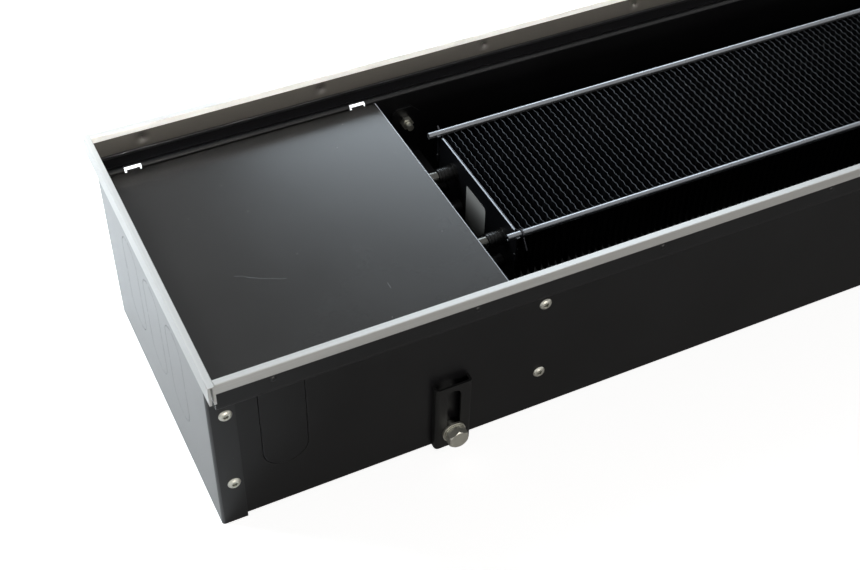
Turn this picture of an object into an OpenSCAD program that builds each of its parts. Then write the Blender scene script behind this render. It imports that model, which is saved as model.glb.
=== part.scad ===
// Floor trench convector: a folded sheet trench with a stepped rim, a finned exchanger and a cover plate.
// The origin is the middle of the underside. X runs along the trench, -Y is the front, Z is up.

/* [Trench] */
// Length of the trench over its two end plates
trench_l = 1000; // [760:10:1600]
// Width of the trench over the flaps of the end caps
body_w = 259; // [240:1:300]
// Height from the underside to the top of the rim
trench_h = 180; // [170:1:210]
// How far the rim stands out past the body on each side
rim_step = 20.5; // [17:0.5:26]
// Depth of the grille recess, from the rim top to the ledge
recess_d = 26; // [22:0.5:32]
// Thickness of the trench sheet
sheet_t = 1.25; // [1:0.05:1.5]
// Radius of the sheet's bends, at the middle of the sheet
bend_r = 1.9; // [1.4:0.1:2.4]

/* [End caps] */
// Length of the flaps that wrap round the trench
flap_l = 20.8; // [19:0.1:26]
// Clearance between the flap tops and the rim's underside
flap_drop = 1.75; // [1:0.25:4]
// Width of a knock-out
knock_w = 37; // [30:0.5:42]
// Height of a knock-out in an end cap
knock_h = 93; // [70:1:100]
// Height of a knock-out in the long wall
wall_knock_h = 102; // [80:1:104]
// Depth of the middle of the knock-outs below the ledge
knock_drop = 57; // [56:0.5:62]
// Pitch of the three knock-outs in an end cap
knock_pitch = 54; // [50:0.5:64]
// Distance from the end plate to the middle of the long wall's knock-out
wall_knock_x = 56.5; // [48:0.5:90]
// Width of the cut round a knock-out
slit_w = 0.5; // [0.4:0.1:1.2]
// Width of the bridges that hold a knock-out
bridge_w = 2.5; // [1.5:0.1:4]

/* [Rim trim] */
// Width of the long rim trims
trim_w = 5.8; // [5:0.1:8]
// Thickness of the legs of the long trims
trim_t = 1; // [0.8:0.05:1.2]
// Thickness of the top of every trim
trim_top_t = 1.2; // [1:0.1:1.6]
// Height of the outer leg of the long trims
trim_outer_leg = 9; // [7:0.1:11]
// Height of the inner leg of the long trims
trim_inner_leg = 5.5; // [4.5:0.1:7]
// Height of the legs of the end trims
end_trim_leg = 18; // [14:0.5:20]
// Thickness of the legs of the end trims
end_trim_t = 1.9; // [1.4:0.1:2.4]
// How far the end trims stand out past the long ones
end_trim_over = 0.8; // [0:0.1:2]
// Size of the broken edges along the trims
trim_chamfer = 0.5; // [0.3:0.1:0.8]
// Pitch of the conical dents that lock the long trims
dent_pitch = 159; // [120:1:200]
// Distance from the end plate to the first dent
dent_x = 45; // [35:1:60]

/* [Cover plate] */
// Distance from the end plate to the free edge of the cover
cover_edge_x = 246; // [200:1:252]
// Thickness of the cover
cover_t = 1.25; // [1:0.05:1.5]
// How far the cover lies below the ledge
cover_drop = 2; // [1.8:0.1:3]
// Width of a hinge tab
tab_w = 11; // [8:0.5:13]
// Width of a tab slot
tab_slot_w = 14.5; // [14:0.5:18]
// Distance from the end plate to the middle of the first tab
tab_first_x = 29.5; // [20:0.5:50]
// Distance from the free edge of the cover to the middle of the last tab
tab_last_in = 16; // [12:0.5:30]

/* [Heat exchanger] */
// Distance from the left end plate to the exchanger's left plate
exchanger_x = 280.5; // [276:0.5:300]
// Distance from the right end plate to the exchanger's right plate
exchanger_end = 72.5; // [68:0.5:110]
// Depth of the shelf that carries the exchanger below the ledge
shelf_drop = 68; // [66:0.5:74]
// Width of the fin pack
fin_w = 136; // [132:1:150]
// Height of the fin pack
fin_h = 55.4; // [52:0.2:58]
// Pitch of the fins
fin_pitch = 6.46; // [5.8:0.02:9]
// Thickness of a fin
fin_t = 0.4; // [0.3:0.05:0.6]
// Height of a fin's corrugation, from its mean plane
fin_wave = 0.9; // [0.5:0.05:1.2]
// Number of full waves across a fin
fin_waves = 8; // [6:1:11]
// Outer diameter of the water tube
tube_d = 10; // [9:0.1:11]
// Wall of the water tube
tube_wall = 0.8; // [0.6:0.1:1.2]
// Height of the upper tube row above the shelf
upper_row = 41; // [40:0.5:43]
// Height of the lower tube row above the shelf
lower_row = 15; // [13:0.5:16]

/* [Exchanger rails] */
// Outer diameter of a rail
rail_d = 5.5; // [4.5:0.1:6.5]
// Wall of a rail
rail_wall = 0.8; // [0.6:0.05:1]
// How far a rail runs past an exchanger plate
rail_over = 9.5; // [6:0.5:14]

/* [Pipe unions] */
// Bore of a union's thread
union_bore_d = 18.6; // [15:0.1:19]
// Depth of a union's thread
union_bore_l = 14; // [12:0.5:18]
// Width across the flats of a union
union_af = 25; // [24:0.5:27]
// Length of a union
union_l = 30; // [28:0.5:34]

/* [Sheet screws] */
// Thread diameter of the sheet screws
screw_d = 6; // [5:0.5:6]
// Head diameter of the sheet screws
screw_head_d = 10.5; // [10:0.1:12]
// Length of the sheet screws under the head
screw_l = 14; // [12:0.5:20]
// Width across the flats of the sheet nuts
screw_nut_af = 10; // [9.5:0.1:10]
// Depth of the upper row of sheet screws below the ledge
screw_upper_drop = 31; // [27:0.5:39]
// Height of the lower row of sheet screws
screw_lower_z = 45.5; // [30:0.5:60]
// Distance from the end plate to the cap screws
cap_screw_x = 13; // [11:0.5:14]

/* [Levelling feet] */
// Distance from the end plate to the middle of a foot
foot_x = 194.5; // [120:0.5:230]
// Width of a foot
foot_w = 31.6; // [28:0.2:36]
// Height of a foot
foot_h = 69.5; // [60:0.5:90]
// How far a foot stands off the wall
foot_depth = 7.5; // [6.5:0.1:9]
// Thickness of a foot's sheet
foot_t = 2; // [1.5:0.1:2.5]
// Clearance under a foot as it is shipped
foot_lift = 3.8; // [1:0.1:8]
// Diameter of a foot's bolt
bolt_d = 10; // [8:0.5:10]
// Width across the flats of a foot's bolt
bolt_af = 16; // [14:0.5:17]
// Height of a foot's bolt above the underside
bolt_z = 20.3; // [18:0.1:26]

/* [Hidden] */

$fn = 32;
// Number of flat steps in one bend of a sheet
bend_steps = 4;
// Overrun of a cut past the face that it starts from
over = 1;
// Clearance of a bolt or a screw in its hole, on the diameter
hole_gap = 0.4;
// Clearance of a nut on its thread, on the diameter
thread_gap = 0.1;
// Clearance between flat faces that slide on each other
slide_gap = 0.15;

black_coat = [0.11, 0.11, 0.12];
anodised = [0.86, 0.87, 0.88];
zinc = [0.72, 0.72, 0.7];
nickel = [0.78, 0.76, 0.72];
felt = [0.06, 0.06, 0.06];

// Places on the trench section
left_x = -trench_l / 2;
ledge_z = trench_h - recess_d;
knock_z = ledge_z - knock_drop;
shelf_z = ledge_z - shelf_drop;
screw_upper_z = ledge_z - screw_upper_drop;
channel_w = body_w - 2 * sheet_t;
channel_x = left_x + sheet_t / 2 + bend_r;
wall_y = channel_w / 2;
wall_in_y = wall_y - sheet_t;
rim_y = body_w / 2 + rim_step;
band_y = rim_y - trim_t;
band_in_y = band_y - sheet_t;
floor_z = sheet_t;
floor_top_z = floor_z + sheet_t;
trim_fit = 0.1;
band_top_z = trench_h - trim_top_t - trim_fit;
band_low_z = ledge_z + bend_r;
channel_path = [
    [-band_y + sheet_t / 2, band_low_z],
    [-band_y + sheet_t / 2, ledge_z - sheet_t / 2],
    [-wall_y + sheet_t / 2, ledge_z - sheet_t / 2],
    [-wall_y + sheet_t / 2, floor_z + sheet_t / 2],
    [wall_y - sheet_t / 2, floor_z + sheet_t / 2],
    [wall_y - sheet_t / 2, ledge_z - sheet_t / 2],
    [band_y - sheet_t / 2, ledge_z - sheet_t / 2],
    [band_y - sheet_t / 2, band_low_z]];

// Places of the end trims and the end caps
end_slot_w = sheet_t + 2 * slide_gap;
end_trim_out = left_x + sheet_t / 2 - end_slot_w / 2 - end_trim_t;
end_trim_w = end_slot_w + 2 * end_trim_t;
long_trim_x = end_trim_out + end_trim_w + trim_fit;
cap_flap_h = ledge_z - sheet_t - flap_drop;
cap_top_z = band_top_z;

// Dents that lock the long trims on the band
dent_d = 5;
dent_deep = 0.6;
dent_tip_share = 0.35;
dent_z = trench_h - trim_outer_leg - dent_d;
dent_count = floor((trench_l - 2 * dent_x) / dent_pitch) + 1;

// Felt strips that the grille lies on
strip_t = 1.5;
strip_in = 4.5;
strip_out = 4.5;
strip_y0 = wall_in_y + strip_in;
strip_y1 = band_in_y - strip_out;
strip_edge = 0.4;

// Cover plate, its tabs and what carries its front edge
cover_z = ledge_z - cover_drop - cover_t;
cover_side_gap = 1;
cover_rear_gap = 2;
tab_short = 0.25;
pivot_y = wall_y - sheet_t / 2;
pivot_z = cover_z + cover_t / 2;
tab_xs = [left_x + tab_first_x, left_x + cover_edge_x - tab_last_in];
slot_below = 2.2;
slot_ledge_cut = 2.8;
rest_w = 22;
rest_leg = 12;
rest_t = 1.5;
rest_xs = [left_x + tab_first_x, left_x + cover_edge_x - tab_last_in];

// Cross brackets: a bulkhead with a shelf and two tall ears
bracket_t = 1.5;
bracket_reach = 18.5;
bracket_deep = 27;
ear_over_screw = 15;
ear_chamfer = 8;
bracket_screw_off = 5.4;
bracket_fit = 0.1;

// Exchanger plates and the fins between them
exchanger_left_x = left_x + exchanger_x;
exchanger_right_x = -left_x - exchanger_end;
exchanger_l = exchanger_right_x - exchanger_left_x;
bracket_screw_xs = [exchanger_left_x - bracket_screw_off, exchanger_right_x + bracket_screw_off];
plate_t = 1.2;
plate_foot = 14;
plate_corner = 5;
plate_inset = 4;
plate_y = fin_w / 2;
ear_w = 3.4;
ear_h = 13;
ear_rise = 31;
ear_low_z = shelf_z + ear_rise;
fin_lift = 2.8;
fin_z = shelf_z + plate_t + fin_lift;
fin_top_z = fin_z + fin_h;
fin_first = 6;
fin_span = exchanger_l - 2 * fin_first;
fin_count = floor(fin_span / fin_pitch) + 1;
fin_x0 = (exchanger_left_x + exchanger_right_x - (fin_count - 1) * fin_pitch) / 2;
fin_hole_gap = 0.2;

// Tube places across the pack, as shares of its width
supply_share = 0.294;
supply_low_share = 0.404;
supply_in_share = 0.184;
return_share = -0.368;
return_in_share = -0.176;
upper_z = shelf_z + upper_row;
lower_z = shelf_z + lower_row;
tubes = [
    [supply_share * fin_w, upper_z],
    [supply_low_share * fin_w, lower_z],
    [supply_in_share * fin_w, lower_z],
    [return_in_share * fin_w, lower_z],
    [return_share * fin_w, lower_z],
    [return_share * fin_w, upper_z]];
tube_past = 5;
socket_l = 4;
stub_l = 40;

// Rails and what holds them
rail_gap = 0.3;
rail_y = fin_w / 2 + rail_d / 2 + rail_gap;
rail_rise = 0.55;
rail_z = fin_top_z + rail_rise;
rail_slit = 1.4;
hook_w = 3;
hook_t = 1;
hook_fit = 0.15;
rivet_d = 2;
rivet_head_d = 3.4;
rivet_head_h = 0.8;
wire_d = 1.5;
wire_sides = 10;
wire_in = 2;
wire_reach = 10;
wire_rear_share = 0.8;

// Collars where the tube leaves the exchanger plate
collar_d = 12.6;
collar_l = 16;
collar_flange_d = 15.6;
collar_flange_l = 2.4;
collar_ridge_d = 13.6;
collar_rib_l = 1.5;
collar_ribs = 4;

// Pipe unions and the air vent
union_tube_in = 10;
union_neck_d = 15;
union_neck_l = 9;
union_collar_l = 5;
union_x = exchanger_left_x - stub_l + union_tube_in;
vent_boss_d = 9;
vent_boss_l = 7;
vent_bore_d = 5;
vent_run_gap = 0.1;
vent_bore_l = 5;
vent_head_d = 8;
vent_head_l = 3;
vent_key = 4;
vent_x = union_x - union_neck_l - (union_l - union_neck_l - union_collar_l) / 2;
vent_y = tubes[len(tubes) - 1][0] + union_af / 2;

// Sheet screws and nuts
screw_head_h = 2.2;
screw_socket_af = 4;
screw_socket_h = 1.4;
screw_nut_h = 5;
head_edge_share = 0.25;
shoulder_shares = [0.86, 0.7];
head_top_share = 0.6;

// Foot bolts, washers and nuts
bolt_head_h = 6.4;
washer_d = 20;
washer_t = 2;
spring_d = 17;
spring_t = 2.5;
spring_cut = 1.5;
spring_turn = 35;
wall_nut_h = 8;
bolt_tip = 2;
foot_slot_gap = 1.8;
foot_slot_end = 5.5;
foot_face_y = wall_y + slide_gap + foot_depth;
foot_slot_w = bolt_d + foot_slot_gap;
washer_y = foot_face_y + slide_gap;
foot_travel = foot_lift + foot_h - foot_slot_end - foot_slot_w / 2 - bolt_z;

function unit(v) = v / norm(v);
function left_of(v) = [-v[1], v[0]];
function turned(v, a) = [v[0] * cos(a) - v[1] * sin(a), v[0] * sin(a) + v[1] * cos(a)];
function reversed(list) = [for (i = [len(list) - 1:-1:0]) list[i]];

// One bend of a sheet, seen along the fold: the points of the face that lies d to the left of its middle
function fold_arc(p0, p1, p2, r, d) =
    let (a = unit(p1 - p0),
        b = unit(p2 - p1),
        way = cross(a, b) > 0 ? 1 : -1,
        bend = acos(a * b),
        centre = p1 - a * r * tan(bend / 2) + way * r * left_of(a))
    [for (k = [0:bend_steps])
        centre - way * (r - way * d) * left_of(turned(a, way * bend * k / bend_steps))];

function fold_side(path, r, d) =
    let (last = len(path) - 1)
    concat([path[0] + d * left_of(unit(path[1] - path[0]))],
        [for (i = [1:last - 1]) each fold_arc(path[i - 1], path[i], path[i + 1], r, d)],
        [path[last] + d * left_of(unit(path[last] - path[last - 1]))]);

// Section of a folded sheet whose middle follows a path of corner points
module folded_sheet(path, t, r) {
    polygon(concat(fold_side(path, r, t / 2), reversed(fold_side(path, r, -t / 2))));
}

// Section drawn in Y and Z, drawn out along X
module along_x(x, l) {
    translate([x, 0, 0]) rotate([90, 0, 90]) linear_extrude(l) children();
}

// Section drawn in X and Z, drawn out along Y about the middle
module along_y(l) {
    rotate([90, 0, 0]) linear_extrude(l, center = true) children();
}

// Both signs of the width and of the length
module each_side() {
    for (side = [0, 1]) mirror([0, side, 0]) children();
}

module each_end() {
    for (end = [0, 1]) mirror([end, 0, 0]) children();
}

module upright_slot(w, h) {
    translate([-w / 2, -(h - w) / 2]) square([w, h - w]);
    for (z = [-1, 1]) translate([0, z * (h - w) / 2]) circle(d = w);
}

// The cut round a knock-out, with bridges at its sides and its ends
module knock_cut(w, h) {
    difference() {
        upright_slot(w, h);
        upright_slot(w - 2 * slit_w, h - 2 * slit_w);
        square([w + over, bridge_w], center = true);
        square([bridge_w, h + over], center = true);
    }
}

module screw_holes(x, y, depth) {
    for (z = [screw_lower_z, screw_upper_z])
        translate([x, y - depth / 2, z]) rotate([-90, 0, 0]) cylinder(d = screw_d + hole_gap, h = depth);
}

module at_dents(y) {
    for (i = [0:dent_count - 1])
        translate([left_x + dent_x + i * dent_pitch, y, dent_z]) rotate([-90, 0, 0]) children();
}

module dent_outside() {
    tip_d = dent_tip_share * dent_d;
    cylinder(d1 = dent_d + 2 * sheet_t, d2 = tip_d + sheet_t, h = dent_deep + sheet_t / 2);
}

module dent_inside() {
    spread = (1 - dent_tip_share) * dent_d * over / dent_deep;
    tip_d = dent_tip_share * dent_d;
    translate([0, 0, -over]) cylinder(d1 = dent_d + spread, d2 = tip_d, h = dent_deep + over);
}

// The folded sheet: its floor, its walls and the ledges, up to the last bends
module trench_channel() {
    color(black_coat) difference() {
        along_x(channel_x, -2 * channel_x) folded_sheet(channel_path, sheet_t, bend_r);
        each_side() each_end() screw_holes(left_x + cap_screw_x, wall_y, 4 * sheet_t);
        each_side() for (x = bracket_screw_xs) screw_holes(x, wall_y, 4 * sheet_t);
        each_side() each_end() translate([left_x + foot_x, wall_y - 2 * sheet_t, bolt_z])
            rotate([-90, 0, 0]) cylinder(d = bolt_d + hole_gap, h = 4 * sheet_t);
        each_side() translate([left_x + wall_knock_x, wall_y - sheet_t / 2, knock_z])
            along_y(2 * sheet_t) knock_cut(knock_w, wall_knock_h);
        for (x = tab_xs) translate([x - tab_slot_w / 2, wall_in_y - over, cover_z - slot_below])
            cube([tab_slot_w, sheet_t + over + slot_ledge_cut, ledge_z - cover_z + slot_below + over]);
    }
}

// Upright band that runs on from the last bend of the rear ledge, with the dents that lock its trim
module rim_band() {
    color(black_coat) difference() {
        union() {
            translate([channel_x, band_in_y, band_low_z])
                cube([-2 * channel_x, sheet_t, band_top_z - band_low_z]);
            at_dents(band_y - sheet_t / 2) dent_outside();
        }
        at_dents(band_in_y) dent_inside();
        each_end() translate([left_x - over, 0, trench_h - end_trim_leg - trim_fit])
            cube([long_trim_x - left_x + over, rim_y, end_trim_leg + over]);
    }
}

module rim_band_rear() { rim_band(); }

module rim_band_front() { mirror([0, 1, 0]) rim_band(); }

module end_cap() {
    mid_y = body_w / 2 - sheet_t / 2;
    color(black_coat) difference() {
        union() {
            linear_extrude(cap_flap_h) folded_sheet([
                [left_x + flap_l, mid_y], [left_x + sheet_t / 2, mid_y],
                [left_x + sheet_t / 2, -mid_y], [left_x + flap_l, -mid_y]], sheet_t, bend_r);
            translate([left_x, -body_w / 2 + bend_r, 0]) cube([sheet_t, body_w - 2 * bend_r, cap_top_z]);
            translate([left_x, -wall_y + bend_r, 0]) cube([flap_l, 2 * (wall_y - bend_r), sheet_t]);
        }
        for (i = [-1:1]) translate([left_x - over, i * knock_pitch, knock_z])
            rotate([90, 0, 90]) linear_extrude(sheet_t + 2 * over) knock_cut(knock_w, knock_h);
        each_side() screw_holes(left_x + cap_screw_x, wall_y, 4 * sheet_t);
    }
}

module end_cap_left() { end_cap(); }

module end_cap_right() { mirror([1, 0, 0]) end_cap(); }

// Section of a long trim, drawn at the rear: a cap with a long outer leg and a short lipped inner one
module long_trim_section() {
    inner = rim_y - trim_w;
    lip_z = trench_h - trim_inner_leg;
    polygon([
        [rim_y, trench_h - trim_outer_leg], [rim_y, trench_h - trim_chamfer],
        [rim_y - trim_chamfer, trench_h], [inner + trim_chamfer, trench_h],
        [inner, trench_h - trim_chamfer], [inner, lip_z],
        [band_in_y - trim_fit, lip_z], [band_in_y - trim_fit, lip_z + trim_t],
        [inner + trim_t, lip_z + trim_t], [inner + trim_t, trench_h - trim_top_t],
        [rim_y - trim_t, trench_h - trim_top_t], [rim_y - trim_t, trench_h - trim_outer_leg]]);
}

module long_trim() {
    color(anodised) along_x(long_trim_x, -2 * long_trim_x) long_trim_section();
}

module edge_trim_rear() { long_trim(); }

module edge_trim_front() { mirror([0, 1, 0]) long_trim(); }

module end_trim() {
    out = end_trim_out;
    inn = end_trim_out + end_trim_w;
    low = trench_h - end_trim_leg;
    color(anodised) along_y(2 * (rim_y + end_trim_over)) polygon([
        [out, low], [out, trench_h - trim_chamfer], [out + trim_chamfer, trench_h],
        [inn - trim_chamfer, trench_h], [inn, trench_h - trim_chamfer], [inn, low],
        [inn - end_trim_t, low], [inn - end_trim_t, trench_h - trim_top_t],
        [out + end_trim_t, trench_h - trim_top_t], [out + end_trim_t, low]]);
}

module edge_trim_left() { end_trim(); }

module edge_trim_right() { mirror([1, 0, 0]) end_trim(); }

module grille_strip() {
    color(felt) along_x(long_trim_x, -2 * long_trim_x) polygon([
        [strip_y0, ledge_z], [strip_y1, ledge_z], [strip_y1, ledge_z + strip_t - strip_edge],
        [strip_y1 - strip_edge, ledge_z + strip_t], [strip_y0 + strip_edge, ledge_z + strip_t],
        [strip_y0, ledge_z + strip_t - strip_edge]]);
}

module grille_strip_rear() { grille_strip(); }

module grille_strip_front() { mirror([0, 1, 0]) grille_strip(); }

// Bulkhead under the exchanger, drawn with its web at x and its flanges towards +X
module cross_bracket() {
    web_x = -bracket_reach;
    tip_x = web_x + bracket_deep;
    ear_top = screw_upper_z + ear_over_screw;
    ear_y = wall_in_y - bracket_fit;
    low = floor_top_z + bracket_fit;
    difference() {
        union() {
            along_y(2 * ear_y) folded_sheet([
                [tip_x, shelf_z - bracket_t / 2], [web_x + bracket_t / 2, shelf_z - bracket_t / 2],
                [web_x + bracket_t / 2, low + bracket_t / 2], [tip_x, low + bracket_t / 2]],
                bracket_t, bend_r);
            each_side() translate([0, ear_y - bracket_t / 2, 0]) along_y(bracket_t) polygon([
                [web_x + bend_r, low], [tip_x, low], [tip_x, ear_top - ear_chamfer],
                [tip_x - ear_chamfer, ear_top], [web_x + ear_chamfer / 2, ear_top],
                [web_x, ear_top - ear_chamfer / 2], [web_x, low + bend_r]]);
        }
        each_side() screw_holes(-bracket_screw_off, wall_in_y, 4 * bracket_t);
        each_side() along_x(web_x - over, bracket_deep + 2 * over) polygon([
            [ear_y - bend_r, low - over], [ear_y + over, low - over], [ear_y + over, low + bend_r]]);
    }
}

module cross_bracket_left() { color(black_coat) translate([exchanger_left_x, 0, 0]) cross_bracket(); }

module cross_bracket_right() {
    color(black_coat) translate([exchanger_right_x, 0, 0]) mirror([1, 0, 0]) cross_bracket();
}

// Button head screw with its head's seat at y = 0 and its shank towards -Y
module button_screw(l) {
    r = screw_head_d / 2;
    difference() {
        rotate([90, 0, 0]) {
            cylinder(d = screw_d, h = l);
            mirror([0, 0, 1]) rotate_extrude() polygon([
                [0, 0], [r, 0], [r, head_edge_share * screw_head_h],
                [shoulder_shares[0] * r, shoulder_shares[1] * screw_head_h],
                [head_top_share * r, screw_head_h], [0, screw_head_h]]);
        }
        translate([0, screw_head_h + over, 0]) rotate([90, 0, 0])
            cylinder(d = screw_socket_af / cos(30), h = screw_socket_h + over, $fn = 6);
    }
}

module sheet_nut() {
    rotate([90, 0, 0]) difference() {
        cylinder(d = screw_nut_af / cos(30), h = screw_nut_h, $fn = 6);
        translate([0, 0, -over]) cylinder(d = screw_d + thread_gap, h = screw_nut_h + 2 * over);
    }
}

module at_cap_screws(y) {
    each_side() each_end() for (z = [screw_lower_z, screw_upper_z])
        translate([left_x + cap_screw_x, y, z]) children();
}

module at_bracket_screws(y) {
    each_side() for (x = bracket_screw_xs, z = [screw_lower_z, screw_upper_z])
        translate([x, y, z]) children();
}

module cap_screws() { color(zinc) at_cap_screws(body_w / 2) button_screw(screw_l); }

module cap_nuts() { color(zinc) at_cap_screws(wall_in_y) sheet_nut(); }

module bracket_screws() { color(zinc) at_bracket_screws(wall_y) button_screw(screw_l); }

module bracket_nuts() { color(zinc) at_bracket_screws(wall_in_y - bracket_fit - bracket_t) sheet_nut(); }

// Outline of one corrugated fin, seen from above
module fin_section() {
    steps = 2 * fin_waves;
    mid = [for (i = [0:steps]) [(i % 2 == 0 ? -1 : 1) * fin_wave, -fin_w / 2 + i * fin_w / steps]];
    polygon(concat([for (p = mid) p + [fin_t / 2, 0]], [for (p = reversed(mid)) p - [fin_t / 2, 0]]));
}

module fin() {
    difference() {
        translate([0, 0, fin_z]) linear_extrude(fin_h) fin_section();
        for (p = tubes) translate([-2 * fin_wave, p[0], p[1]]) rotate([0, 90, 0])
            cylinder(d = tube_d + fin_hole_gap, h = 4 * fin_wave);
    }
}

module fin_pack() {
    color(black_coat) for (i = [0:fin_count - 1]) translate([fin_x0 + i * fin_pitch, 0, 0]) fin();
}

module tube_ring() {
    difference() {
        circle(d = tube_d);
        circle(d = tube_d - 2 * tube_wall);
    }
}

module exchanger_tubes() {
    x0 = exchanger_left_x - tube_past;
    x1 = exchanger_right_x + tube_past;
    last = len(tubes) - 1;
    color(nickel) for (i = [0:last]) {
        start = i == 0 || i == last ? exchanger_left_x - stub_l : x0;
        translate([0, tubes[i][0], tubes[i][1]]) along_x(start, x1 - start) tube_ring();
    }
}

// Socket of a return bend, from the bend's end at z = 0 over the end of a tube
module bend_socket() {
    difference() {
        cylinder(d = tube_d + 2 * tube_wall, h = socket_l + tube_wall);
        translate([0, 0, -over]) cylinder(d = tube_d - 2 * tube_wall, h = socket_l + 2 * over);
        translate([0, 0, tube_wall]) cylinder(d = tube_d + thread_gap, h = socket_l + over);
    }
}

// Half-round bend with two sockets that joins tubes p and q, outwards from x
module return_bend(p, q, x, way) {
    mid = (p + q) / 2;
    r = norm(q - p) / 2;
    lean = atan2(q[1] - p[1], q[0] - p[0]);
    translate([x, mid[0], mid[1]]) rotate([lean, 0, 0]) rotate([0, 0, -90 * way]) {
        rotate_extrude(angle = 180) translate([r, 0]) tube_ring();
        for (side = [-1, 1]) translate([side * r, 0, 0]) rotate([90, 0, 0]) bend_socket();
    }
}

module return_bends_left() {
    color(nickel) for (i = [1:2:len(tubes) - 2])
        return_bend(tubes[i], tubes[i + 1], exchanger_left_x - tube_past - tube_wall, -1);
}

module return_bends_right() {
    color(nickel) for (i = [0:2:len(tubes) - 2])
        return_bend(tubes[i], tubes[i + 1], exchanger_right_x + tube_past + tube_wall, 1);
}

// End plate of the exchanger, with its outer face at x = 0 and its fins towards +X
module exchanger_plate() {
    difference() {
        union() {
            along_x(0, plate_t) polygon([
                [plate_y, shelf_z], [plate_y, fin_top_z - plate_corner],
                [plate_y - plate_inset, fin_top_z],
                [plate_inset - plate_y, fin_top_z], [-plate_y, fin_top_z - plate_corner],
                [-plate_y, shelf_z]]);
            each_side() translate([0, plate_y - ear_w, ear_low_z]) cube([plate_t, 2 * ear_w, ear_h]);
            translate([-plate_foot, -plate_y, shelf_z]) cube([plate_foot + plate_t, fin_w, plate_t]);
        }
        for (p = tubes) translate([-over, p[0], p[1]]) rotate([0, 90, 0])
            cylinder(d = tube_d + fin_hole_gap, h = plate_t + 2 * over);
        each_side() at_rivet() rivet_hole();
    }
}

module at_rivet() {
    translate([0, plate_y + ear_w / 2, ear_low_z + ear_h / 2]) children();
}

module rivet_hole() {
    translate([-plate_t - over, 0, 0]) rotate([0, 90, 0])
        cylinder(d = rivet_d + thread_gap, h = 2 * (plate_t + over));
}

module exchanger_plate_left() { color(black_coat) translate([exchanger_left_x, 0, 0]) exchanger_plate(); }

module exchanger_plate_right() {
    color(black_coat) translate([exchanger_right_x, 0, 0]) mirror([1, 0, 0]) exchanger_plate();
}

// The same piece at both ends and both sides of the exchanger, drawn at its left rear corner
module at_exchanger_corners() {
    each_side() {
        translate([exchanger_left_x, 0, 0]) children();
        translate([exchanger_right_x, 0, 0]) mirror([1, 0, 0]) children();
    }
}

module plate_rivets() {
    color(zinc) at_exchanger_corners() at_rivet() rotate([0, 90, 0]) {
        translate([0, 0, -hook_t - rivet_head_h])
            cylinder(d1 = rivet_d, d2 = rivet_head_d, h = rivet_head_h);
        translate([0, 0, -hook_t]) cylinder(d = rivet_d, h = hook_t + plate_t);
        translate([0, 0, plate_t]) cylinder(d1 = rivet_head_d, d2 = rivet_d, h = rivet_head_h);
    }
}

// Hook that is riveted to an ear of the exchanger plate and cups a rail from below
module rail_hook() {
    inner_r = rail_d / 2 + hook_fit;
    difference() {
        translate([-hook_t, 0, 0]) union() {
            translate([hook_t - hook_w, 0, 0]) along_x(0, hook_w) difference() {
                translate([rail_y, rail_z]) circle(r = inner_r + hook_t);
                translate([rail_y, rail_z]) circle(r = inner_r);
                translate([rail_y - rail_d, rail_z]) square([2 * rail_d, rail_d]);
            }
            translate([0, plate_y + ear_w / 2 - hook_w / 2, ear_low_z])
                cube([hook_t, hook_w, rail_z - inner_r - ear_low_z]);
        }
        at_rivet() rivet_hole();
        translate([0, rail_y, rail_z]) along_x(-2 * hook_w, 2 * hook_w) circle(r = inner_r);
    }
}

module rail_hooks() { color(black_coat) at_exchanger_corners() rail_hook(); }

module rail() {
    color(zinc) along_x(exchanger_left_x - rail_over, exchanger_l + 2 * rail_over)
        translate([rail_y, rail_z]) difference() {
            circle(d = rail_d);
            circle(d = rail_d - 2 * rail_wall);
            rotate(-135) translate([0, -rail_slit / 2]) square([rail_d, rail_slit]);
        }
}

module rail_rear() { rail(); }

module rail_front() { mirror([0, 1, 0]) rail(); }

// Ring of points round one corner of a wire that is bent in the Y and Z plane
function wire_ring(path, i) =
    let (before = path[max(i - 1, 0)],
        after = path[min(i + 1, len(path) - 1)],
        across = left_of(unit(after - before)))
    [for (k = [0:wire_sides - 1]) let (a = 360 * k / wire_sides)
        [wire_d / 2 * sin(a), path[i][0] + across[0] * wire_d / 2 * cos(a),
            path[i][1] + across[1] * wire_d / 2 * cos(a)]];

module wire(path) {
    last = len(path) - 1;
    polyhedron(
        points = [for (i = [0:last]) each wire_ring(path, i)],
        faces = concat([[for (k = [0:wire_sides - 1]) k]],
            [for (i = [0:last - 1], k = [0:wire_sides - 1])
                let (next = (k + 1) % wire_sides)
                [i * wire_sides + k, (i + 1) * wire_sides + k,
                    (i + 1) * wire_sides + next, i * wire_sides + next]],
            [[for (k = [wire_sides - 1:-1:0]) last * wire_sides + k]]));
}

// Wire over the front rail and under the rear one, with a short tail at each end
module retaining_wires() {
    r = rail_d / 2 + wire_d / 2 + hook_fit;
    path = concat(
        [[-rail_y - wire_reach, rail_z - wire_reach]],
        [for (a = [200:-40:0]) [-rail_y, rail_z] + r * [cos(a), sin(a)]],
        [[-rail_y + wire_reach, rail_z - r], [rail_y - wire_reach, rail_z - r]],
        [for (a = [250:30:310]) [rail_y, rail_z] + r * [cos(a), sin(a)]],
        [[rail_y + wire_reach * wire_rear_share, rail_z + wire_d]]);
    color(zinc) for (x = [exchanger_left_x + plate_t + wire_in, exchanger_right_x - plate_t - wire_in])
        translate([x, 0, 0]) wire(path);
}

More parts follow.
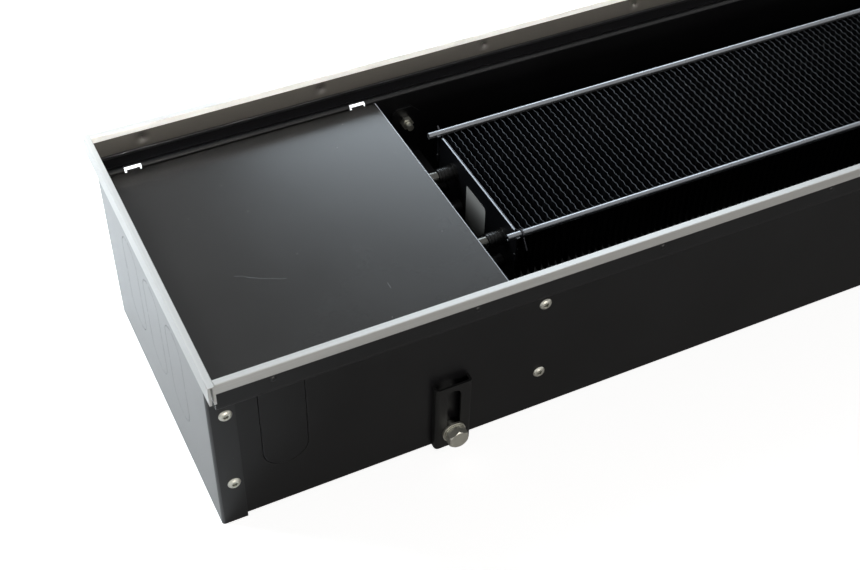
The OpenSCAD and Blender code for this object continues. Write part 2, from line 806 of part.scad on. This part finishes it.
// Ribbed sleeve with a flange, on a tube that leaves the plate at z = 0
module tube_collar() {
    r = collar_d / 2;
    rib = collar_ridge_d / 2;
    rib_flat = collar_rib_l / 4;
    bore = (tube_d + hole_gap) / 2;
    rotate_extrude() polygon(concat(
        [[bore, 0], [collar_flange_d / 2, 0],
            [collar_flange_d / 2, collar_flange_l], [r, collar_flange_l]],
        [for (i = [1:collar_ribs]) let (z = collar_flange_l + (2 * i - 1) * collar_rib_l)
            each [[r, z], [rib, z + rib_flat],
                [rib, z + collar_rib_l - rib_flat], [r, z + collar_rib_l]]],
        [[r, collar_l], [bore, collar_l]]));
}

module tube_collars() {
    color(black_coat) for (p = [tubes[0], tubes[len(tubes) - 1]])
        translate([exchanger_left_x, p[0], p[1]]) rotate([0, -90, 0]) tube_collar();
}

// Female union on a tube that ends at z = union_tube_in, with its mouth at z = union_l
module pipe_union() {
    difference() {
        union() {
            cylinder(d = union_neck_d, h = union_neck_l);
            translate([0, 0, union_neck_l]) cylinder(d = union_af / cos(30),
                h = union_l - union_neck_l - union_collar_l, $fn = 6);
            translate([0, 0, union_l - union_collar_l]) cylinder(d = union_af, h = union_collar_l);
        }
        translate([0, 0, -over]) cylinder(d = tube_d + thread_gap, h = union_tube_in + over);
        cylinder(d = tube_d - 2 * tube_wall, h = union_l);
        translate([0, 0, union_l - union_bore_l]) cylinder(d = union_bore_d, h = union_bore_l + over);
    }
}

module at_union(p) {
    translate([union_x, p[0], p[1]]) rotate([0, -90, 0]) children();
}

module pipe_unions() {
    color(nickel) {
        at_union(tubes[0]) pipe_union();
        difference() {
            union() {
                at_union(tubes[len(tubes) - 1]) pipe_union();
                translate([vent_x, vent_y - over, upper_z]) rotate([-90, 0, 0])
                    cylinder(d = vent_boss_d, h = vent_boss_l + over);
            }
            translate([vent_x, vent_y + vent_boss_l - vent_bore_l, upper_z]) rotate([-90, 0, 0])
                cylinder(d = vent_bore_d, h = vent_bore_l + over);
        }
    }
}

module vent_screw() {
    color(nickel) translate([vent_x, vent_y + vent_boss_l, upper_z]) rotate([-90, 0, 0]) {
        translate([0, 0, slide_gap - vent_bore_l])
            cylinder(d = vent_bore_d - vent_run_gap, h = vent_bore_l);
        translate([0, 0, slide_gap]) cylinder(d = vent_head_d, h = vent_head_l);
        translate([-vent_key / 2, -vent_key / 2, vent_head_l]) cube(vent_key);
    }
}

module cover_plate() {
    x0 = end_trim_out + end_trim_w + cover_side_gap;
    x1 = left_x + cover_edge_x;
    y0 = cover_side_gap - wall_in_y;
    y1 = wall_in_y - cover_rear_gap;
    color(black_coat) translate([0, 0, cover_z]) linear_extrude(cover_t) union() {
        translate([x0, y0]) square([x1 - x0, y1 - y0]);
        for (x = tab_xs) translate([x - tab_w / 2, 0]) square([tab_w, wall_y - tab_short]);
    }
}

// Angle pieces on the front wall that carry the front edge of the cover
module cover_rests() {
    y = rest_t / 2 - wall_in_y;
    z = cover_z - slide_gap - rest_t / 2;
    color(black_coat) for (x = rest_xs) along_x(x - rest_w / 2, rest_w)
        folded_sheet([[y, z - rest_leg], [y, z], [y + rest_leg, z]], rest_t, bend_r);
}

// Levelling foot at the left rear: a channel with an upright slot, open towards the wall
module foot() {
    x = left_x + foot_x;
    side = foot_w / 2 - foot_t / 2;
    y0 = wall_y + slide_gap;
    difference() {
        translate([x, 0, foot_lift]) linear_extrude(foot_h) folded_sheet([
            [-side, y0], [-side, foot_face_y - foot_t / 2], [side, foot_face_y - foot_t / 2], [side, y0]],
            foot_t, foot_t);
        translate([x, foot_face_y, bolt_z + foot_travel / 2])
            along_y(4 * foot_t) upright_slot(foot_slot_w, foot_travel + foot_slot_w);
    }
}

module foot_rear_left() { color(black_coat) foot(); }

module foot_rear_right() { color(black_coat) mirror([1, 0, 0]) foot(); }

module foot_front_left() { color(black_coat) mirror([0, 1, 0]) foot(); }

module foot_front_right() { color(black_coat) mirror([0, 1, 0]) mirror([1, 0, 0]) foot(); }

// Pieces round a foot's bolt, drawn along +Z from a face at y
module at_foot_bolts(y) {
    each_side() each_end() translate([left_x + foot_x, y, bolt_z]) rotate([-90, 0, 0]) children();
}

module plain_ring(outer, inner, h) {
    difference() {
        cylinder(d = outer, h = h);
        translate([0, 0, -over]) cylinder(d = inner, h = h + 2 * over);
    }
}

module flat_washers() {
    color(zinc) at_foot_bolts(washer_y) plain_ring(washer_d, bolt_d + hole_gap, washer_t);
}

module spring_washers() {
    color(zinc) at_foot_bolts(washer_y + washer_t) difference() {
        plain_ring(spring_d, bolt_d + hole_gap, spring_t);
        rotate(spring_turn) translate([0, -spring_cut / 2, -over])
            cube([spring_d, spring_cut, spring_t + 2 * over]);
    }
}

module foot_bolts() {
    head_y = washer_y + washer_t + spring_t;
    shank = head_y - wall_in_y + wall_nut_h + bolt_tip;
    color(zinc) at_foot_bolts(head_y) {
        rotate(30) intersection() {
            cylinder(d = bolt_af / cos(30), h = bolt_head_h, $fn = 6);
            cylinder(d1 = bolt_af / cos(30) + 2 * bolt_head_h, d2 = bolt_af, h = bolt_head_h);
        }
        translate([0, 0, -shank]) cylinder(d = bolt_d, h = shank);
    }
}

module wall_nuts() {
    color(zinc) at_foot_bolts(wall_in_y - wall_nut_h) difference() {
        cylinder(d = bolt_af / cos(30), h = wall_nut_h, $fn = 6);
        translate([0, 0, -over]) cylinder(d = bolt_d + thread_gap, h = wall_nut_h + 2 * over);
    }
}

trench_channel();
rim_band_front();
rim_band_rear();
end_cap_left();
end_cap_right();
edge_trim_front();
edge_trim_rear();
edge_trim_left();
edge_trim_right();
grille_strip_front();
grille_strip_rear();
cross_bracket_left();
cross_bracket_right();
cap_screws();
cap_nuts();
bracket_screws();
bracket_nuts();
fin_pack();
exchanger_tubes();
return_bends_left();
return_bends_right();
exchanger_plate_left();
exchanger_plate_right();
plate_rivets();
rail_front();
rail_rear();
rail_hooks();
retaining_wires();
tube_collars();
pipe_unions();
vent_screw();
cover_plate();
cover_rests();
foot_front_left();
foot_front_right();
foot_rear_left();
foot_rear_right();
foot_bolts();
flat_washers();
spring_washers();
wall_nuts();
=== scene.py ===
"""Floor trench convector: finishes, finer pieces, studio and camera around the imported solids."""
import math
import random

import bpy
from mathutils import Matrix, Vector


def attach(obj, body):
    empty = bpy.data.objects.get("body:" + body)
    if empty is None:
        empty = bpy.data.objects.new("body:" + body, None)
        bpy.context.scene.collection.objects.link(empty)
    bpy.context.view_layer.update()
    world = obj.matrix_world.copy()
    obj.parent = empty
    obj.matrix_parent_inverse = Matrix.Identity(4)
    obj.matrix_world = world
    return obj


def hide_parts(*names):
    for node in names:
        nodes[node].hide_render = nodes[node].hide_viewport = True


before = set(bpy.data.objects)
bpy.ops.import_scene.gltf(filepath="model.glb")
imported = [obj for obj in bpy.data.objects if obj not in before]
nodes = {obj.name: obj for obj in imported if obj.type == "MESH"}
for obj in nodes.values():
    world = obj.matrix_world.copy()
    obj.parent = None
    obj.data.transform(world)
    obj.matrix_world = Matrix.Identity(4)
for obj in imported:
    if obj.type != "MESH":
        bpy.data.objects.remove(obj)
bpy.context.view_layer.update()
MM = 0.001


# Shader maths: a wrapped socket that does arithmetic, and one method that makes every node

class Value:
    def __init__(self, graph, socket):
        self.graph, self.socket = graph, socket

    def math(self, operation, *others):
        return self.graph.math(operation, self, *others)

    def __add__(self, other): return self.math("ADD", other)
    def __radd__(self, other): return self.math("ADD", other)
    def __sub__(self, other): return self.math("SUBTRACT", other)
    def __rsub__(self, other): return self.graph.math("SUBTRACT", other, self)
    def __mul__(self, other): return self.math("MULTIPLY", other)
    def __rmul__(self, other): return self.math("MULTIPLY", other)
    def size(self): return self.math("ABSOLUTE")
    def root(self): return self.math("SQRT")
    def above(self, level): return self.math("GREATER_THAN", level)
    def below(self, level): return self.math("LESS_THAN", level)
    def clamped(self): return self.math("MAXIMUM", 0.0).math("MINIMUM", 1.0)
    def around_zero(self, amount): return (self - 0.5) * amount

    def ramp(self, low, high):
        """0 at low, 1 at high, even in between and level beyond. low may be the larger one."""
        return self.graph.add(
            "MapRange", {"clamp": True}, {"Value": self, "From Min": low, "From Max": high})


class Graph:
    """A node tree that starts empty."""

    def __init__(self, tree):
        self.tree = tree
        tree.nodes.clear()

    def add(self, kind, settings=(), sockets=(), out=0):
        """A node of this type: its settings first, then the values or links of its sockets."""
        node = self.tree.nodes.new("ShaderNode" + kind)
        for name, value in dict(settings).items():
            setattr(node, name, value)
        for name, value in dict(sockets).items():
            socket = node.inputs[name]
            if isinstance(value, Value):
                self.tree.links.new(value.socket, socket)
            elif socket.type == "RGBA":
                socket.default_value = (*value[:3], 1.0)
            else:
                socket.default_value = value
        return Value(self, node.outputs[out]) if node.outputs else None

    def math(self, operation, *terms):
        return self.add("Math", {"operation": operation}, dict(enumerate(terms)))

    def seen_by(self, ray):
        return self.add("LightPath", out="Is " + ray + " Ray")

    def background(self, glossy):
        """1 for the rays that show the plain background, and the share glossy for reflections."""
        seen = self.seen_by("Camera") + self.seen_by("Transmission")
        return (seen + self.seen_by("Glossy") * glossy).clamped()


class Finish(Graph):
    """A material with one Principled shader. Its patterns are fixed to the object's axes."""

    def __init__(self, name):
        self.material = bpy.data.materials.new(name)
        self.material.use_nodes = True
        super().__init__(self.material.node_tree)
        self.place = self.add("TexCoord", out="Object")

    def surface(self, **sockets):
        named = {socket.replace("_", " "): value for socket, value in sockets.items()}
        self.add("OutputMaterial", sockets={"Surface": self.add("BsdfPrincipled", sockets=named)})
        return self

    def part_of(self, vector, axis):
        return self.add("SeparateXYZ", sockets={0: vector}, out=axis)

    def coordinate(self, axis):
        return self.part_of(self.place, axis)

    def moved(self, operation, vector):
        return self.add("VectorMath", {"operation": operation}, {0: self.place, 1: vector})

    def noise(self, scale, detail=2.0, where=None):
        return self.add("TexNoise", sockets={
            "Vector": where or self.place, "Scale": scale, "Detail": detail, "Roughness": 0.55})

    def specks(self, scale, size, share):
        """Scattered dots: size of a dot in cells, share of the cells that hold one."""
        cells = {"Vector": self.place, "Scale": scale}
        pick = self.add("TexVoronoi", sockets=cells, out="Color")
        chosen = self.add("SeparateColor", sockets={"Color": pick}).below(share)
        return self.add("TexVoronoi", sockets=cells).below(size) * chosen

    def mix(self, share, first, second):
        """A colour. Sockets 6 and 7 and output 2 are the ones that a Mix node has for colours."""
        return self.add("Mix", {"data_type": "RGBA"}, {0: share, 6: first, 7: second}, out=2)

    def hairline(self, start, end, half_width=0.22 * MM, wander=6.0 * MM):
        """A slightly wavy thin line between two places, given as x and y in mm."""
        (x0, y0), (x1, y1) = start, end
        turned = self.add("VectorRotate", {"rotation_type": "Z_AXIS"}, {
            "Vector": self.moved("SUBTRACT", (x0 * MM, y0 * MM, 0)),
            "Angle": -math.atan2(y1 - y0, x1 - x0)})
        along, across = self.part_of(turned, "X"), self.part_of(turned, "Y")
        drift = self.noise(70.0, 1.0).around_zero(wander)
        on_line = (across - drift).size().below(half_width)
        return on_line * along.above(0.0) * along.below(math.dist(start, end) * MM)

    def relief(self, height, strength, distance, edge=0.0):
        """Bumps of the given depth, over edges that look rounded by the radius edge."""
        sockets = {"Height": height, "Strength": strength, "Distance": distance}
        if edge:
            sockets["Normal"] = self.add("Bevel", {"samples": 6}, {"Radius": edge})
        return self.add("Bump", sockets=sockets)

    def dented(self, where, normal, reach=9.0 * MM, depth=5.0 * MM):
        """Soft hollows round the dents that lock the long trims, where the mask is 1."""
        half = DENT_PITCH / 2
        along = (self.coordinate("X") - DENT_FIRST).math("WRAP", half, -half)
        up = self.coordinate("Z") - DENT_Z
        near = (along * along + up * up).root().ramp(reach, 0.0)
        return self.add("Bump", sockets={
            "Height": where * (near * near * -1.0), "Strength": 1.0, "Distance": depth,
            "Normal": normal})


def shade(colour, factor, lift=0.0):
    return [c * factor + lift for c in colour]


def powder_coat(name, colour, rough, grain=0.1, dust=0.012, edge=0.45 * MM, gloss=0.5, clear=0.0,
                inner=None):
    """Satin powder coat: orange peel, slow changes of sheen, a little dust. clear: clear coat, in
    full on an end cap's plate and a quarter of it on the flaps. inner: a lighter colour on the
    rim bands' inner faces, a painted sheen over the same black coat."""
    coat = Finish(name)
    cloud = coat.noise(14.0, 4.0)
    peel = coat.noise(1500.0, 2.0)
    dots = coat.specks(330.0, 0.09, dust)
    base = coat.mix(cloud.ramp(0.3, 0.75), colour, shade(colour, 1.5, 0.001))
    normal = coat.relief(peel + coat.noise(420.0, 1.0) * 0.6, 0.22, 0.06 * MM, edge)
    if inner:
        # painted sheen: the bands' inner faces get the lighter inner colour in place of the black
        # coat
        inside = coat.coordinate("Y").size().below(BAND_FACE)
        base = coat.mix(inside, base, inner)
        normal = coat.dented(inside, normal)
    if clear:
        clear = coat.coordinate("Y").size().below(FLAP_FACE) * (0.75 * clear) + 0.25 * clear
    return coat.surface(
        Base_Color=coat.mix(dots * 0.4, base, (0.25, 0.24, 0.22)),
        Roughness=rough + cloud.around_zero(0.08) + peel.around_zero(grain) + dots * 0.2,
        Normal=normal, Specular_IOR_Level=gloss, Coat_Weight=clear, Coat_Roughness=0.3)


def scratched_coat(name, colour, rough):
    """The cover's coat, with hair-thin scratches of handling and a painted highlight along its
    right edge.
    """
    coat = Finish(name)
    cloud = coat.noise(9.0, 5.0)
    peel = coat.noise(1300.0, 2.0)
    long_scratch = coat.hairline((-440, -27), (-405, -46.5))
    scratches = long_scratch + coat.hairline((-338.5, -82.5), (-338.3, -89))
    dots = coat.specks(240.0, 0.12, 0.014)
    # painted highlight: a light bluish colour along the cover's right edge, where its rounded edge
    # catches the light
    edge = coat.coordinate("X").above(COVER_EDGE)
    tinted = coat.mix(cloud.ramp(0.3, 0.75), colour, shade(colour, 1.35, 0.001))
    marked = coat.mix(scratches * 0.35, tinted, (0.35, 0.36, 0.36))
    dusty = coat.mix(dots * 0.3, marked, (0.3, 0.29, 0.27))
    return coat.surface(
        Base_Color=coat.mix(edge, dusty, (0.62, 0.65, 0.70)),
        Roughness=rough + cloud.around_zero(0.08) + peel.around_zero(0.08) + dots * 0.2,
        Normal=coat.relief(peel + coat.noise(380.0, 1.0) * 0.7, 0.2, 0.06 * MM, 0.5 * MM))


def anodised(name, grain_axis, pale_inside=0.0):
    """Satin natural anodised extrusion with a faint grain along the axis of that number, 0 for X.
    pale_inside: how far from the middle plane its inner leg reaches, which is matt and painted
    paler as painted light."""
    metal = Finish(name)
    density = [700.0, 700.0, 700.0]
    density[grain_axis] = 6.0
    grain = metal.noise(1.0, 3.0, metal.moved("MULTIPLY", density))
    cloud = metal.noise(22.0, 3.0)
    # painted light: the inner leg gets a near-white colour and no metal, so that it looks brightly
    # lit
    matt = metal.coordinate("Y").size().below(pale_inside)
    shine = metal.mix(grain.ramp(0.3, 0.7), (0.71, 0.71, 0.69), (0.77, 0.77, 0.755))
    return metal.surface(
        Base_Color=metal.mix(matt, shine, (0.97, 0.97, 0.95)), Metallic=0.5 - 0.5 * matt,
        Roughness=0.42 + grain.around_zero(0.08) + cloud.around_zero(0.06),
        Normal=metal.relief(grain, 0.05, 0.02 * MM, 0.18 * MM))


def plated(name, colour, rough, stain=0.25, edge=0.25 * MM):
    """Zinc or nickel plate with cloudy staining, and with painted shade that makes it almost black
    in sockets and narrow corners.
    """
    metal = Finish(name)
    cloud = metal.noise(160.0, 4.0)
    fine = metal.noise(1800.0, 2.0)
    # painted shade: ambient occlusion turns the colour almost black in sockets and narrow corners
    painted_shade_ao = metal.add("AmbientOcclusion", {"samples": 8}, {"Distance": 2.6 * MM}, "AO")
    tone = metal.mix(cloud.ramp(0.45, 0.75) * stain, colour, shade(colour, 0.55))
    return metal.surface(
        Base_Color=metal.mix(painted_shade_ao.ramp(0.35, 0.8), shade(colour, 0.02), tone),
        Metallic=0.85,
        Roughness=rough + cloud.around_zero(0.2) + fine.around_zero(0.12),
        Normal=metal.relief(fine, 0.08, 0.02 * MM, edge))


def cut_edge_coat(name, depth, bare_tone):
    """Thin black coat that is bare to this depth under the exchanger's top edge."""
    coat = Finish(name)
    worn = coat.noise(900.0, 3.0)
    bare = coat.coordinate("Z").above(EXCHANGER_TOP - depth) * worn.ramp(0.1, 0.4)
    black = coat.mix(coat.noise(30.0, 3.0), (0.003, 0.003, 0.004), (0.006, 0.0065, 0.008))
    return coat.surface(
        Base_Color=coat.mix(bare, black, bare_tone), Metallic=bare,
        Roughness=0.42 + bare * 0.08 + worn.around_zero(0.2),
        Normal=coat.relief(worn, 0.1, 0.03 * MM), Specular_IOR_Level=0.3)


def moulded(name, colour):
    plastic = Finish(name)
    grain = plastic.noise(2600.0, 2.0)
    return plastic.surface(
        Base_Color=plastic.mix(plastic.noise(60.0, 3.0), colour, shade(colour, 1.7, 0.002)),
        Roughness=0.33 + grain.around_zero(0.2),
        Normal=plastic.relief(grain, 0.15, 0.04 * MM, 0.2 * MM), Specular_IOR_Level=0.4)


def pressed_felt(name):
    felt = Finish(name)
    fibre = felt.noise(1.0, 5.0, felt.moved("MULTIPLY", (900.0, 1700.0, 1700.0)))
    return felt.surface(
        Base_Color=felt.mix(fibre.ramp(0.35, 0.7), (0.003, 0.003, 0.004), (0.010, 0.010, 0.011)),
        Roughness=0.85 + fibre.around_zero(0.2),
        Normal=felt.relief(fibre, 0.6, 0.25 * MM), Specular_IOR_Level=0.1)


def blank_foil(name):
    """Grey foil, lighter towards its top, with painted shade that darkens its lower part."""
    foil = Finish(name)
    fade = foil.noise(45.0, 4.0)
    fine = foil.noise(1500.0, 2.0)
    # painted shade: the colour darkens from the foil's top towards its bottom
    level = foil.coordinate("Z").ramp(88.0 * MM, 132.0 * MM)
    return foil.surface(
        Base_Color=foil.mix(level * 0.8 + fade * 0.2, (0.34, 0.34, 0.32), (0.74, 0.74, 0.71)),
        Roughness=0.4 + fade.around_zero(0.2) + fine.around_zero(0.1),
        Normal=foil.relief(fine, 0.08, 0.02 * MM))


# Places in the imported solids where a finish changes: distances from the middle plane, then others

BAND_FACE = 148.9 * MM
INNER_LEG = 144.6 * MM
FLAP_FACE = 129.4 * MM
COVER_EDGE = -254.8 * MM
EXCHANGER_TOP = 145.4 * MM
DENT_FIRST, DENT_PITCH, DENT_Z = -455.0 * MM, 159.0 * MM, 166.0 * MM

BLACK = (0.0045, 0.0045, 0.0052)
trench_coat = powder_coat("trench_coat", BLACK, 0.34)
# The inner colour is a painted sheen over the bands' black coat.
band_coat = powder_coat("band_coat", BLACK, 0.34, inner=(0.096, 0.090, 0.081))
cap_coat = powder_coat("cap_coat", (0.006, 0.006, 0.007), 0.32, clear=1.0)
cover_coat = scratched_coat("cover_coat", (0.0165, 0.0155, 0.0145), 0.24)
foot_coat = powder_coat("foot_coat", (0.006, 0.006, 0.006), 0.42, grain=0.14, edge=0.15 * MM)
black_tube = powder_coat("black_tube", (0.004, 0.004, 0.0045), 0.4, gloss=0.3)
zinc = plated("zinc", (0.93, 0.92, 0.82), 0.34, stain=0.15, edge=0.12 * MM)
wire_zinc = plated("wire_zinc", (0.10, 0.10, 0.11), 0.30)
rail_zinc = plated("rail_zinc", (0.33, 0.345, 0.365), 0.30, stain=0.15)
stub_metal = plated("stub_metal", (0.13, 0.13, 0.12), 0.24)
nickel = plated("nickel", (0.63, 0.60, 0.54), 0.26)
long_trim = anodised("long_trim", 0, INNER_LEG)
end_trim = anodised("end_trim", 1)
fin_coat = cut_edge_coat("fin_coat", 0.3 * MM, (0.11, 0.118, 0.128))
plate_coat = cut_edge_coat("plate_coat", 0.6 * MM, (0.34, 0.36, 0.385))
collar_plastic = moulded("collar_plastic", (0.005, 0.005, 0.005))
strip_felt = pressed_felt("strip_felt")

finishes = {
    trench_coat: ["trench_channel", "cross_bracket_left", "cross_bracket_right", "cover_rests"],
    band_coat: ["rim_band_front", "rim_band_rear"],
    cap_coat: ["end_cap_left", "end_cap_right"],
    cover_coat: ["cover_plate"],
    foot_coat: ["foot_front_left", "foot_front_right", "foot_rear_left", "foot_rear_right"],
    black_tube: ["plate_rivets", "return_bends_left", "return_bends_right"],
    zinc: ["cap_screws", "cap_nuts", "bracket_screws", "bracket_nuts", "foot_bolts",
           "flat_washers", "spring_washers", "wall_nuts"],
    stub_metal: ["exchanger_tubes"],
    wire_zinc: ["retaining_wires"],
    rail_zinc: ["rail_front", "rail_rear"],
    nickel: ["pipe_unions", "vent_screw"],
    long_trim: ["edge_trim_front", "edge_trim_rear"],
    end_trim: ["edge_trim_left", "edge_trim_right"],
    plate_coat: ["exchanger_plate_left", "exchanger_plate_right", "rail_hooks"],
    collar_plastic: ["tube_collars"],
    strip_felt: ["grille_strip_front", "grille_strip_rear"],
    fin_coat: ["fin_pack"],
}
for finish, names in finishes.items():
    for name in names:
        nodes[name].data.materials.clear()
        nodes[name].data.materials.append(finish.material)


# Pieces of the scene, with points in millimetres

def new_piece(name, points, faces, finish, body, slot):
    made = bpy.data.meshes.new(name)
    made.from_pydata([tuple(c * MM for c in p) for p in points], [], faces)
    made.validate()
    made.update()
    piece = bpy.data.objects.new(name, made)
    bpy.context.scene.collection.objects.link(piece)
    piece.data.materials.append(finish.material)
    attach(piece, body)
    return piece


def corrugated_fins():
    """The points and faces of the fins: sheets with round corrugations, a little uneven."""
    count, pitch, first = 99, 6.46, -212.54
    waves, steps, rise, thick = 17, 10, 0.4, 0.25
    half_width, low, high = 68.0, 90.0, 145.4
    uneven_place, uneven_top, uneven_lean = 0.12, 0.12, 0.15
    turns = waves * steps
    dice = random.Random(5)
    points, faces = [], []
    for i in range(count):
        x0 = first + i * pitch + dice.uniform(-uneven_place, uneven_place)
        top = high - dice.uniform(0.0, uneven_top)
        lean = dice.uniform(-uneven_lean, uneven_lean)
        start = len(points)
        for k in range(turns + 1):
            y = -half_width + 2 * half_width * k / turns
            middle = x0 + rise * math.sin(2 * math.pi * k / steps)
            for side, z in ((-1, low), (-1, top), (1, top), (1, low)):
                x = middle + side * thick / 2 + lean * (z - low) / (high - low)
                points.append((x, y, z))
        for k in range(turns):
            a, b = start + 4 * k, start + 4 * (k + 1)
            for c in range(4):
                d = (c + 1) % 4
                faces.append((a + c, b + c, b + d, a + d))
        end = start + 4 * turns
        faces.append((start, start + 1, start + 2, start + 3))
        faces.append((end + 3, end + 2, end + 1, end))
    return points, faces


def foil_plate():
    """The points and faces of the blank foil on the left end plate, with rounded top corners."""
    front, rear, low, top, x, thick = -17.5, 16.5, 91.0, 129.5, -219.5, 0.25
    front_radius, rear_radius = 3.5, 1.5
    quarter = [math.radians(turn) for turn in range(0, 91, 15)]
    outline = [(rear, low), (front, low)]
    outline += [(front + front_radius * (1 - math.cos(a)), top - front_radius * (1 - math.sin(a)))
                for a in quarter]
    outline += [(rear - rear_radius * (1 - math.sin(a)), top - rear_radius * (1 - math.cos(a)))
                for a in quarter]
    n = len(outline)
    points = [(x, y, z) for y, z in outline] + [(x - thick, y, z) for y, z in outline]
    faces = [tuple(range(n)), tuple(reversed(range(n, 2 * n)))]
    faces += [(k, (k + 1) % n, (k + 1) % n + n, k + n) for k in range(n)]
    return points, faces


fins = new_piece("corrugated_fins", *corrugated_fins(), fin_coat, "trench", "exchanger_coat")
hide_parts("fin_pack")
new_piece("blank_plate", *foil_plate(), blank_foil("blank_foil"), "trench", "exchanger_coat")


# Studio: pale floor, soft lamps, white behind the object

FLOOR_HALF = 6.0
FLOOR_DROP = 0.2 * MM
# The floor's colour changes to plain white between these distances from the object
WHITE_FROM, WHITE_AT = 1.2, 2.8

# Place, aim, size, watts, colour and spread in degrees
LAMPS = {
    "lamp_back_right": (
        (0.77, 1.62, 1.25), (-0.30, 0.0, 0.15), (1.25, 0.7), 17.5, (0.80, 0.91, 1.0), 180),
    "lamp_left_floor": (
        (-1.10, 0.65, 0.80), (-0.78, 0.36, 0.0), (0.6, 0.7), 4.4, (0.89, 0.955, 1.0), 75),
    "lamp_front": (
        (-0.3, -2.2, 0.6), (0.0, 0.0, 0.15), (1.4, 0.7), 12, (1.0, 0.94, 0.86), 180),
    "lamp_rear_rim": (
        (0.0, -0.95, 0.95), (0.0, 0.147, 0.19), (1.5, 0.02), 0.22, (1.0, 0.97, 0.93), 4),
}


def build_floor():
    made = bpy.data.meshes.new("floor")
    corners = [(x * FLOOR_HALF, y * FLOOR_HALF, 0) for x, y in ((-1, -1), (1, -1), (1, 1), (-1, 1))]
    made.from_pydata(corners, [], [(0, 1, 2, 3)])
    floor = bpy.data.objects.new("floor", made)
    floor.location.z = -FLOOR_DROP
    bpy.context.scene.collection.objects.link(floor)
    paper = Finish("floor_paper")
    matt = paper.add("BsdfDiffuse", sockets={"Color": (0.84, 0.84, 0.84)})
    glow = paper.add("Emission", sockets={"Strength": 0.86})
    bright = paper.add("AddShader", sockets={0: matt, 1: glow})
    white = paper.add("Emission", sockets={"Strength": 1.0})
    distance = paper.add("VectorMath", {"operation": "LENGTH"}, {0: paper.place}, "Value")
    far = distance.ramp(WHITE_FROM, WHITE_AT)
    backdrop = paper.add("MixShader", sockets={0: far, 1: bright, 2: white})
    shown = paper.add("MixShader", sockets={0: paper.background(0.03), 1: matt, 2: backdrop})
    paper.add("OutputMaterial", sockets={"Surface": shown})
    made.materials.append(paper.material)


def build_world():
    world = bpy.data.worlds.new("studio")
    bpy.context.scene.world = world
    world.use_nodes = True
    sky = Graph(world.node_tree)
    dim = sky.add("Background", sockets={"Color": (1, 1, 1), "Strength": 0.105})
    white = sky.add("Background", sockets={"Color": (1, 1, 1), "Strength": 1.0})
    shown = sky.add("MixShader", sockets={0: sky.background(0.56), 1: dim, 2: white})
    sky.add("OutputWorld", sockets={"Surface": shown})


def soft_lamp(name, place, aim, size, power, colour, spread):
    lamp = bpy.data.lights.new(name, "AREA")
    lamp.shape = "RECTANGLE"
    lamp.size, lamp.size_y = size
    lamp.energy = power
    lamp.color = colour
    lamp.spread = math.radians(spread)
    holder = bpy.data.objects.new(name, lamp)
    holder.location = place
    holder.rotation_euler = (Vector(aim) - Vector(place)).to_track_quat("-Z", "Y").to_euler()
    holder.visible_camera = False
    bpy.context.scene.collection.objects.link(holder)


build_floor()
build_world()
for name, lamp in LAMPS.items():
    soft_lamp(name, *lamp)


# Camera at the photograph's place, from the fit to the edges in it

CAMERA_PLACE = (-0.6478, -0.7670, 0.8802)
CAMERA_RIGHT = (0.89897809, -0.43773904, 0.01493036)
CAMERA_DOWN = (-0.29558328, -0.63148479, -0.71683854)
CAMERA_AHEAD = (0.32321651, 0.64000898, -0.69707933)
FOCAL_LENGTH, SENSOR_WIDTH = 58.136, 36.0


def build_camera():
    lens = bpy.data.cameras.new("camera")
    lens.sensor_width = SENSOR_WIDTH
    lens.lens = FOCAL_LENGTH
    lens.clip_start = 0.05
    camera = bpy.data.objects.new("camera", lens)
    axes = Matrix((Vector(CAMERA_RIGHT), -Vector(CAMERA_DOWN), -Vector(CAMERA_AHEAD)))
    camera.matrix_world = Matrix.Translation(CAMERA_PLACE) @ axes.transposed().to_4x4()
    bpy.context.scene.collection.objects.link(camera)
    bpy.context.scene.camera = camera


build_camera()
bpy.context.scene.view_settings.view_transform = "Standard"
